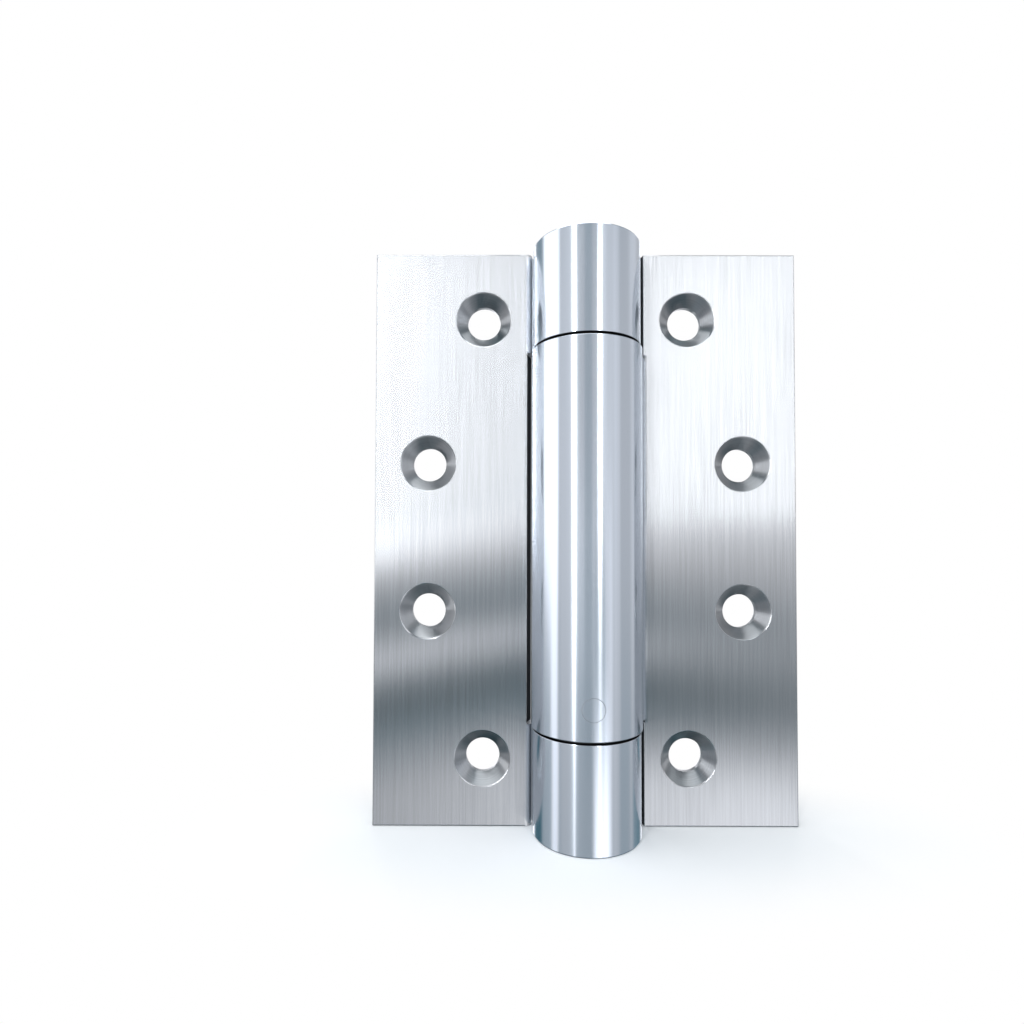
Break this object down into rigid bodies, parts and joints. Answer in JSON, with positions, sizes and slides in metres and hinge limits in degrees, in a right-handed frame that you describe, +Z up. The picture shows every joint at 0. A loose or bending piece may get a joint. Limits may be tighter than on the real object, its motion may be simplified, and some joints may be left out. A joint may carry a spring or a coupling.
{
  "type": "spring hinge",
  "caption": "Self-closing door hinge: two flat leaves with countersunk holes, rolled round a stout barrel that hides a torsion spring and an adjusting spindle.",
  "frame": {"origin": "on the pin axis at half height, which is the middle of the open hinge", "axes": "+Z up along the pin axis, +X from the frame leaf across to the door leaf, -Y out of the countersunk front faces"},
  "size_m": [0.075, 0.0194, 0.1016],
  "materials": {
    "stainless_sheet": "satin brushed leaves, polished barrel",
    "turned_steel": "fine turned, zinc plated",
    "spring_wire": "bright zinc plated wire",
    "black_nylon": "matt black"
  },
  "bodies": {
    "frame_side": {"frame_leaf": "stainless_sheet", "upper_bearing_washer": "black_nylon", "lower_bearing_washer": "black_nylon", "bottom_end_cap": "stainless_sheet"},
    "door_side": {"door_leaf": "stainless_sheet", "anchor_spindle": "turned_steel", "anchor_pin": "stainless_sheet", "torsion_spring": "spring_wire"},
    "adjuster": {"adjusting_spindle": "turned_steel", "stop_pin": "turned_steel"}
  },
  "joints": [
    {"name": "door_swing", "type": "hinge", "parent": "frame_side", "child": "door_side", "pos_m": [0, 0, 0], "axis": [0, 0, 1], "range_deg": [-180, 90], "stiffness_Nm_per_rad": 0.35, "deforming": ["torsion_spring"]},
    {"name": "tension_set", "type": "hinge", "parent": "frame_side", "child": "adjuster", "pos_m": [0, 0, 0.0426], "axis": [0, 0, -1], "range_deg": [0, 90], "stiffness_Nm_per_rad": 0.35, "deforming": ["torsion_spring"]}
  ]
}
